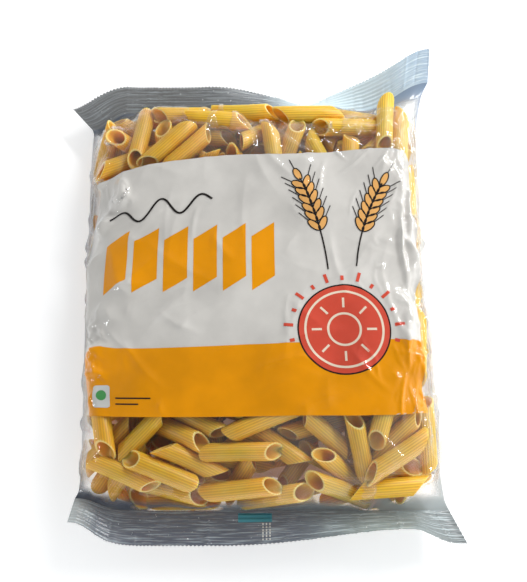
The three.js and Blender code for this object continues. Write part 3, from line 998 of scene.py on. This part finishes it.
def back_seam(back, material):
    """The lapped seam that runs the length of the back."""
    rows = back[::4]
    inner = rows[:, FINE_BACK // 2, :1] + np.linspace(SEAM_LEFT, SEAM_OFFSET, 7)[None, :]
    points = np.stack([
        [np.interp(line, row[:, 0], row[:, axis]) for line, row in zip(inner, rows)]
        for axis in (0, 1, 2)
    ], -1)
    points[..., 2] -= SEAM_DROP
    return mesh_piece("back_seam", points, grid_faces(*points.shape[:2])[:, ::-1], material)


# The print. Places on it are a to the right and b up, in millimetres from the label's lower left corner.

class Label:
    """Lays patches of print just under the front film."""

    def __init__(self, front):
        self.front = front
        self.left = front.s[0] + LABEL_LEFT
        self.width = front.s[-1] - LABEL_RIGHT - self.left

    def points(self, a, b, depth):
        share = np.clip(a / self.width, 0, 1)
        s = self.left + a - LABEL_BULGE * np.sin(np.pi * b / LABEL_HEIGHT) * (1 - share) ** 4
        t = LABEL_BOTTOM + b - self.sag(share) * (b / LABEL_HEIGHT) ** 2
        return self.front.point(s, t, depth)

    def sag(self, share):
        return LABEL_SAG_LEFT * (1 - share) ** 1.8 + LABEL_SAG_RIGHT * share ** 6

    def covers(self):
        """1 where a point of the front's grid lies over the label, and 0 elsewhere."""
        a = (self.front.s - self.left)[None, :]
        b = (self.front.t - LABEL_BOTTOM)[:, None]
        top = LABEL_HEIGHT - self.sag(np.clip(a / self.width, 0, 1))
        left = -LABEL_BULGE * np.sin(np.pi * np.clip(b / LABEL_HEIGHT, 0, 1))
        return ((a > left) & (a < self.width) & (b > 0) & (b < top)).astype(float)

    def patch(self, a, b, depth):
        """A grid of places, which run right along the columns and up along the rows, as a mesh."""
        return self.points(a, b, depth), grid_faces(*a.shape)


def steps(low, high, step=PRINT_STEP):
    return np.linspace(low, high, max(2, int(math.ceil(abs(high - low) / step)) + 1))


def block(label, a_low, b_low, a_high, b_high, depth, corner=0.0, slant=0.0, rise=0.0):
    """A rectangle, with rounded corners, ends cut on a slant or a top edge that rises to the right."""
    width, height = a_high - a_low, b_high - b_low
    y = steps(0, height)
    to_end = from_ends(y)
    inset = corner - np.sqrt(np.maximum(0, corner ** 2 - np.maximum(0, corner - to_end) ** 2))
    x = steps(0, 1, PRINT_STEP / width)
    a = a_low + inset[:, None] + (width - 2 * inset[:, None]) * x[None, :]
    b = b_low + y[:, None] + (slant + rise * y[:, None] / height) * (x[None, :] - 0.5)
    return label.patch(a, b, depth)


def turned(a, b, along, aside, turn):
    """The places that are so far along and aside of a place, where along is a heading in radians."""
    cos, sin = math.cos(turn), math.sin(turn)
    return a + along * cos - aside * sin, b + along * sin + aside * cos


def oval(label, a, b, half_length, half_width, depth, turn=0.0):
    """An ellipse, on a square grid bent to fill it."""
    x = np.linspace(-1, 1, len(steps(-half_length, half_length)))[None, :]
    y = np.linspace(-1, 1, len(steps(-half_width, half_width)))[:, None]
    along = half_length * x * np.sqrt(1 - y * y / 2)
    aside = half_width * y * np.sqrt(1 - x * x / 2)
    return label.patch(*turned(a, b, along, aside, turn), depth)


def stroke(label, line, width, depth):
    """A line of one width through the given places."""
    line = np.asarray(line, float)
    away = np.gradient(line, axis=0)
    away = away / np.hypot(away[:, 0], away[:, 1])[:, None]
    normal = np.stack([-away[:, 1], away[:, 0]], -1) * width / 2
    places = np.stack([line + normal, line - normal], 1)
    return label.patch(places[..., 0], places[..., 1], depth)


def arc(a, b, radius, start, end, step=PRINT_STEP):
    turn = np.radians(steps(start, end, math.degrees(step / radius)))
    return np.stack([a + radius * np.cos(turn), b + radius * np.sin(turn)], -1)


def straight(a0, b0, a1, b1):
    share = steps(0, 1, PRINT_STEP / math.hypot(a1 - a0, b1 - b0))[:, None]
    return np.array([[a0, b0]]) * (1 - share) + np.array([[a1, b1]]) * share


def spoke(label, a, b, turn, inner, outer, width, depth):
    """A straight line from one distance to another out from a place."""
    line = straight(*turned(a, b, inner, 0, turn), *turned(a, b, outer, 0, turn))
    return stroke(label, line, width, depth)


def wheat_ear(label, a, b, length, turn, bend):
    """A stem that curves up from a place, and the grains in two rows at its head, with their outlines."""
    share = steps(0, 1, PRINT_STEP / length)
    heading = turn + bend * share
    stem = np.stack([
        a + np.concatenate([[0], np.cumsum(np.cos(heading[:-1]) * length / (len(share) - 1))]),
        b + np.concatenate([[0], np.cumsum(np.sin(heading[:-1]) * length / (len(share) - 1))]),
    ], -1)
    dark = [stroke(label, stem, OUTLINE, LINE_DEPTH)]
    ring = arc(0, 0, 1, 0, 370, 0.25)
    tan = []
    for place in np.linspace(*GRAIN_SPAN, EAR_GRAINS):
        at = int(place * (len(share) - 1))
        sides = (0,) if place == GRAIN_SPAN[1] else (-1, 1)
        for side in sides:
            lean = heading[at] + side * GRAIN_LEAN
            middle = turned(*stem[at], GRAIN_HALF, 0, lean)
            tan.append(oval(label, *middle, GRAIN_HALF, GRAIN_WIDTH, MOTIF_DEPTH, lean))
            edge = turned(*middle, ring[:, 0] * GRAIN_HALF, ring[:, 1] * GRAIN_WIDTH, lean)
            dark.append(stroke(label, np.stack(edge, -1), OUTLINE * 0.8, LINE_DEPTH))
            dark.append(spoke(label, *middle, lean, GRAIN_HALF, AWN_REACH, OUTLINE * 0.6, LINE_DEPTH))
    return dark, tan


def sun(label):
    """A round sun low over the band, with a dark outline, pale rings and short rays."""
    dark = [oval(label, SUN_A, SUN_B, SUN_RADIUS + OUTLINE, SUN_RADIUS + OUTLINE, UNDER_DEPTH)]
    red = [oval(label, SUN_A, SUN_B, SUN_RADIUS, SUN_RADIUS, MOTIF_DEPTH)]
    cream = [
        stroke(label, arc(SUN_A, SUN_B, SUN_RADIUS * share, 0, 360), RING_WIDTH, LINE_DEPTH)
        for share in RING_SHARES
    ]
    for dash in range(SUN_DASHES):
        turn = 2 * math.pi * dash / SUN_DASHES
        inner, outer = (SUN_RADIUS * share for share in DASH_SHARES)
        cream.append(spoke(label, SUN_A, SUN_B, turn, inner, outer, RING_WIDTH, LINE_DEPTH))
    for ray in range(SUN_RAYS):
        turn = math.radians(RAY_START + RAY_SWEEP * ray / (SUN_RAYS - 1))
        inner, outer = SUN_RADIUS + RAY_GAP, SUN_RADIUS + RAY_REACHES[ray % 2]
        red.append(spoke(label, SUN_A, SUN_B, turn, inner, outer, RAY_WIDTH, MOTIF_DEPTH))
    return dark, red, cream


def quill_bars(label):
    """A row of bold slanted bars over the white field."""
    return [
        block(label, a, BARS_BOTTOM, a + BAR_WIDTH, BARS_BOTTOM + BAR_HEIGHT, BAND_DEPTH, slant=BAR_SLANT)
        for a in BARS_LEFT + BAR_STEP * np.arange(BAR_COUNT)
    ]


def wave(label):
    """A loose dark line above the bars, thin at its ends."""
    share = steps(0, 1, PRINT_STEP / WAVE_LENGTH)
    swing = np.sin(2 * math.pi * WAVE_TURNS * share) * (0.55 + 0.45 * np.sin(math.pi * share))
    level = WAVE_LEVEL + WAVE_HEIGHT * swing + WAVE_RISE * share
    line = np.stack([WAVE_LEFT + WAVE_LENGTH * share, level], -1)
    return stroke(label, line, WAVE_WIDTH, LINE_DEPTH)


def print_pieces(label, inks):
    width = label.width
    white = [block(label, 0, 0, width, LABEL_HEIGHT, GROUND_DEPTH, corner=LABEL_CORNER)]
    orange = [block(label, 0, 0, width, BAND_HEIGHT, BAND_DEPTH, rise=BAND_RISE)] + quill_bars(label)
    dark, red, cream = sun(label)
    tan = []
    for a, b, length, turn, bend in EARS:
        ear_dark, ear_tan = wheat_ear(label, a, b, length, math.radians(turn), math.radians(bend))
        dark += ear_dark
        tan += ear_tan
    dark.append(wave(label))
    for a, b, length in RULES:
        dark.append(stroke(label, straight(a, b, a + length, b), RULE_WIDTH, MOTIF_DEPTH))
    right, top = TILE_A + TILE_SIZE, TILE_B + TILE_SIZE * TILE_TALL
    pale = [block(label, TILE_A, TILE_B, right, top, MOTIF_DEPTH, corner=TILE_CORNER)]
    dot_a, dot_b = TILE_A + TILE_SIZE / 2, TILE_B + TILE_SIZE * DOT_LEVEL
    green = [oval(label, dot_a, dot_b, DOT_RADIUS, DOT_RADIUS, LINE_DEPTH)]
    pieces = {"white": white, "orange": orange, "dark": dark, "red": red, "cream": cream, "tan": tan,
              "pale": pale, "green": green}
    for ink, parts in pieces.items():
        points, faces = joined(parts)
        mesh_piece("print_" + ink, points, faces, inks[ink])


# Materials

class Nodes:
    """The nodes of a material or of the world, and short ways to add them."""

    def __init__(self, owner):
        self.owner = owner
        self.owner.use_nodes = True
        self.tree = self.owner.node_tree
        self.tree.nodes.clear()

    def add(self, kind, inputs=None, **settings):
        node = self.tree.nodes.new("ShaderNode" + kind)
        for key, value in settings.items():
            setattr(node, key, value)
        for key, value in (inputs or {}).items():
            self.put(node.inputs[key], value)
        return node

    def put(self, socket, value):
        if isinstance(value, bpy.types.NodeSocket):
            self.tree.links.new(value, socket)
        else:
            socket.default_value = value

    def attribute(self, name):
        return self.add("Attribute", attribute_name=name).outputs["Fac"]

    def place(self):
        return self.add("TexCoord").outputs["Object"]

    def parts(self, vector):
        """The x, y and z of a vector."""
        return self.add("SeparateXYZ", {0: vector}).outputs

    def stretched(self, x, y, z):
        return self.add("Mapping", {"Vector": self.place(), "Scale": (x, y, z)}).outputs["Vector"]

    def noise(self, scale, detail, vector=None):
        inputs = {"Vector": vector or self.place(), "Scale": scale, "Detail": detail}
        return self.add("TexNoise", inputs).outputs["Fac"]

    def folds(self, scale, detail):
        """Sharp creases where a noise crosses its middle value, 1 on the crease and 0 far from it."""
        away = self.math("ABSOLUTE", self.math("SUBTRACT", self.noise(scale, detail), 0.5))
        return self.math("POWER", self.math("SUBTRACT", 1.0, self.times(away, 2.0)), 6.0)

    def math(self, operation, *values):
        node = self.add("Math", operation=operation)
        for socket, value in zip(node.inputs, values):
            self.put(socket, value)
        return node.outputs[0]

    def times(self, first, second):
        return self.math("MULTIPLY", first, second)

    def between(self, value, low, high, low_out=0.0, high_out=1.0):
        inputs = {"Value": value, "From Min": low, "From Max": high, "To Min": low_out, "To Max": high_out}
        return self.add("MapRange", inputs).outputs[0]

    def mix(self, share, first, second):
        node = self.add("Mix", data_type="RGBA")
        for index, value in ((0, share), (6, first), (7, second)):
            self.put(node.inputs[index], value)
        return node.outputs[2]

    def ramp(self, value, stops):
        node = self.add("ValToRGB", {"Fac": value})
        elements = node.color_ramp.elements
        while len(elements) < len(stops):
            elements.new(0.5)
        for element, (position, colour) in zip(elements, stops):
            element.position = position
            element.color = colour
        return node.outputs["Color"]

    def bump(self, height, strength, distance):
        return self.add("Bump", {"Height": height, "Strength": strength, "Distance": distance}).outputs[0]

    def principled(self, **inputs):
        inputs = {key.replace("_", " "): value for key, value in inputs.items()}
        return self.add("BsdfPrincipled", inputs).outputs[0]

    def clear(self):
        return self.add("BsdfTransparent").outputs[0]

    def blend(self, share, first, second):
        node = self.add("MixShader", {0: share, 1: first, 2: second})
        return node.outputs[0]

    def finish(self, shader):
        self.add("OutputMaterial", {"Surface": shader})
        return self.owner


def new_material(name):
    return Nodes(bpy.data.materials.new(name))


def pasta_material():
    nodes = new_material("pasta")
    tone = nodes.attribute("tone")
    # Painted light: the pieces are lighter towards the right, where the light falls, and darker on the
    # left; tone also varies at random between pieces.
    across = nodes.between(nodes.parts(nodes.place())[0], -0.05, 0.09)
    shaded_left = nodes.mix(tone, srgb(238, 182, 30), srgb(240, 172, 20))
    lit_right = nodes.mix(tone, srgb(255, 206, 76), srgb(255, 196, 56))
    colour = nodes.mix(across, shaded_left, lit_right)
    mottle = nodes.between(nodes.noise(160.0, 3.0), 0.35, 0.7)
    colour = nodes.mix(nodes.times(mottle, 0.3), colour, srgb(238, 200, 92))
    rim = nodes.attribute("rim")
    colour = nodes.mix(nodes.times(rim, 0.6), colour, srgb(240, 216, 156))
    # Painted shade: the grooves between the ridges are darker.
    groove_shade = nodes.times(nodes.attribute("groove_shade"), 0.6)
    colour = nodes.mix(groove_shade, colour, srgb(192, 128, 28))
    # Painted shade: the inside of each tube is a darker ochre.
    inside = nodes.attribute("inside")
    colour = nodes.mix(nodes.times(inside, 0.7), colour, srgb(226, 166, 52))
    fine = nodes.bump(nodes.noise(1400.0, 3.0), 0.25, 0.0002)
    return nodes.finish(nodes.principled(
        Base_Color=colour, Roughness=0.42, Normal=fine,
        Subsurface_Weight=0.8, Subsurface_Scale=0.004, Subsurface_Radius=(1.0, 0.62, 0.3),
    ))


def film_material():
    """Clear film with sharp reflections, a painted whitish sheen towards the right and top, a painted grey
    shade at its edges, and a painted ochre glow where it lies on the table.
    """
    nodes = new_material("clear film")
    spot = nodes.parts(nodes.place())
    # Painted light: the whitish sheen grows towards the right, where the light falls, and towards the top.
    across = nodes.between(spot[0], -0.05, 0.08)
    top = nodes.between(spot[1], 0.06, 0.1)
    sheen_streaks = nodes.between(nodes.noise(24.0, 4.0, nodes.stretched(1.7, 0.7, 1.0)), 0.35, 0.7)
    sheen_amount = nodes.math("ADD", nodes.times(across, 0.14), nodes.times(top, 0.1))
    sheen_amount = nodes.times(sheen_amount, nodes.attribute("bare"))
    painted_sheen = nodes.principled(Base_Color=srgb(236, 234, 226), Roughness=0.4)
    body = nodes.blend(nodes.times(sheen_streaks, sheen_amount), nodes.clear(), painted_sheen)
    # Painted shade: a grey sheet, dark on the left and painted lighter on the right, where the light falls,
    # and bluer at the top.
    painted_lit_grey = nodes.mix(top, srgb(164, 172, 172), srgb(124, 142, 164))
    painted_shade = nodes.principled(Base_Color=nodes.mix(across, srgb(66, 74, 88), painted_lit_grey), Roughness=0.3)
    body = nodes.blend(nodes.attribute("painted_shade"), body, painted_shade)
    # Painted light: an ochre glow on the back film where it lies on the table, and no reflection there.
    painted_gap_glow = nodes.attribute("painted_gap_glow")
    painted_glow = nodes.principled(Base_Color=srgb(228, 160, 62), Roughness=0.8)
    body = nodes.blend(nodes.times(painted_gap_glow, 0.8), body, painted_glow)
    folds = nodes.folds(48.0, 3.0)
    waves = nodes.bump(nodes.math("ADD", folds, nodes.noise(260.0, 2.0)), 0.16, 0.0008)
    mirror = nodes.principled(Base_Color=(0.95, 0.97, 1.0, 1.0), Metallic=1.0, Roughness=0.06, Normal=waves)
    fresnel = nodes.add("Fresnel", {"IOR": 1.45, "Normal": waves}).outputs[0]
    share = nodes.times(nodes.math("MINIMUM", fresnel, 0.25), nodes.math("SUBTRACT", 1.0, painted_gap_glow))
    return nodes.finish(nodes.blend(share, body, mirror))


def seal_material(name, stops, shine):
    """Crimped film of two layers, its colour painted light and shade: it changes along the seal, grey where
    shade is painted and pale blue where a reflection of the light is painted, with painted pale streaks
    along the crimps and small painted glints.
    """
    nodes = new_material(name)
    along, out = nodes.attribute("along"), nodes.attribute("out")
    # Painted reflection and shade: the colour runs from grey to pale blue along the seal.
    colour = nodes.ramp(nodes.between(along, -1.0, 1.0), [(at, srgb(*shade)) for at, shade in stops])
    # Painted highlights: pale streaks along the crimps, stronger towards the right.
    crimps = nodes.add("CombineXYZ", {0: nodes.times(along, 6.0), 1: nodes.times(out, 24.0)}).outputs[0]
    painted_streak = nodes.between(nodes.noise(1.0, 4.0, crimps), 0.5, 0.66)
    sheen_amount = nodes.between(along, -0.1, 0.6, *shine)
    colour = nodes.mix(nodes.times(painted_streak, sheen_amount), colour, srgb(222, 238, 242))
    # Painted glints: small white flecks.
    painted_glint = nodes.between(nodes.noise(700.0, 2.0), 0.72, 0.76)
    colour = nodes.mix(nodes.times(painted_glint, 0.8), colour, srgb(240, 244, 246))
    waves = nodes.bump(nodes.noise(300.0, 3.0), 0.3, 0.0006)
    body = nodes.principled(Base_Color=colour, Roughness=0.25, Normal=waves)
    return nodes.finish(nodes.blend(0.92, nodes.clear(), body))


def ink_material(name, colour):
    nodes = new_material(name)
    # Darker spots, partly uneven ink and partly painted shade of soft wrinkles.
    darker = [channel * (1 - 2 * INK_MOTTLE_AND_SHADE) for channel in colour[:3]] + [1.0]
    spots = nodes.between(nodes.noise(35.0, 4.0), 0.35, 0.65)
    return nodes.finish(nodes.principled(
        Base_Color=nodes.mix(spots, colour, darker), Roughness=0.6, Specular_IOR_Level=0.0,
    ))


def floor_material():
    nodes = new_material("pale floor")
    spots = nodes.noise(6.0, 3.0)
    colour = nodes.mix(spots, (0.93, 0.93, 0.93, 1.0), (0.9, 0.9, 0.9, 1.0))
    return nodes.finish(nodes.principled(
        Base_Color=colour, Roughness=0.8, Emission_Color=(1.0, 1.0, 1.0, 1.0), Emission_Strength=FLOOR_GLOW,
    ))


# Floor, light and camera

def add_object(name, data):
    thing = bpy.data.objects.new(name, data)
    bpy.context.scene.collection.objects.link(thing)
    return thing


def add_floor():
    mesh = bpy.data.meshes.new("floor")
    signs = ((-1, -1), (1, -1), (1, 1), (-1, 1))
    corners = [(x * FLOOR_HALF, y * FLOOR_HALF, 0) for x, y in signs]
    mesh.from_pydata(corners, [], [(0, 1, 2, 3)])
    mesh.materials.append(floor_material())
    floor = add_object("floor", mesh)
    floor.location.z = FLOOR_LEVEL


def aimed(thing, place, target):
    thing.location = place
    thing.rotation_euler = (Vector(target) - Vector(place)).to_track_quat("-Z", "Y").to_euler()


def add_light(name, direction, width, length, radiance):
    """A rectangle of light with its length level, so that long glints run up the bag."""
    light = bpy.data.lights.new(name, "AREA")
    light.shape = "RECTANGLE"
    light.size, light.size_y = length, width
    light.energy = radiance * math.pi * width * length
    lamp = add_object(name, light)
    aimed(lamp, Vector(direction).normalized() * LIGHT_DISTANCE, LIGHT_TARGET)


def add_world():
    """Surroundings that are bright at the horizon and dim overhead."""
    world = bpy.data.worlds.new("studio")
    nodes = Nodes(world)
    way = nodes.add("TexCoord").outputs["Generated"]
    strength = nodes.between(nodes.parts(way)[2], 0.0, 1.0, HORIZON_STRENGTH, ZENITH_STRENGTH)
    side = nodes.add("VectorMath", {0: way, 1: WORLD_SLOPE}, operation="DOT_PRODUCT").outputs["Value"]
    strength = nodes.math("MULTIPLY_ADD", side, strength, strength)
    light = nodes.add("Background", {"Color": WORLD_COLOUR, "Strength": strength}).outputs[0]
    nodes.add("OutputWorld", {"Surface": light})
    bpy.context.scene.world = world


def add_camera():
    data = bpy.data.cameras.new("camera")
    data.lens = LENS
    camera = add_object("camera", data)
    rise = math.radians(CAMERA_RISE)
    away = Vector((0, -math.cos(rise), math.sin(rise))) * CAMERA_DISTANCE
    aimed(camera, Vector(CAMERA_TARGET) + away, CAMERA_TARGET)
    bpy.context.scene.camera = camera


# The bag

ends = packed_quills()
coarse = drawn_film(ends)
bag_middle = outline_middle(coarse)
shapes = quill_shapes(ends)
settle_tips(shapes)
ends = settled_ends(shapes)
front = FrontFilm(ends, shapes, coarse)
back = drawn_fine(close_ends(resampled(coarse[:, ACROSS + 1:][:, ::-1], FINE_BACK)), ends, shapes)
back = tented(back, rims_of(shapes), -1)
back[..., 2] = np.maximum(back[..., 2], 0)
label = Label(front)

clear = film_material()
bare = np.concatenate([1 - label.covers().ravel(), np.ones(back[..., 0].size)])
painted_shade = painted_film_shade(front, back, ends, bare)
film = film_piece(front.grid, back, painted_shade, bare, clear)
back_seam(back, clear)
top = seal_piece("top_seal", 1, seal_material("top seal", TOP_SEAL_PAINTED_LIGHT, (0.16, 0.8)))
bottom = seal_piece("bottom_seal", -1, seal_material("bottom seal", BOTTOM_SEAL_PAINTED_LIGHT, (0.3, 0.45)))

pasta = pasta_material()
by_height = np.argsort(-shapes["middle"][:, 2], kind="stable")
half_way = len(by_height) // 2
upper = quill_mesh("pasta_upper", shapes, by_height[:half_way], pasta)
lower = quill_mesh("pasta_lower", shapes, by_height[half_way:], pasta)
inks = {ink: ink_material(ink + " ink", srgb(*shade)) for ink, shade in INKS.items()}
print_pieces(label, inks)
seal_marks(inks)

for piece in (film, top, bottom, upper, lower):
    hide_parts("bag")

add_floor()
add_world()
for light in LIGHTS:
    add_light(*light)
add_camera()
bpy.context.scene.view_settings.view_transform = "Standard"
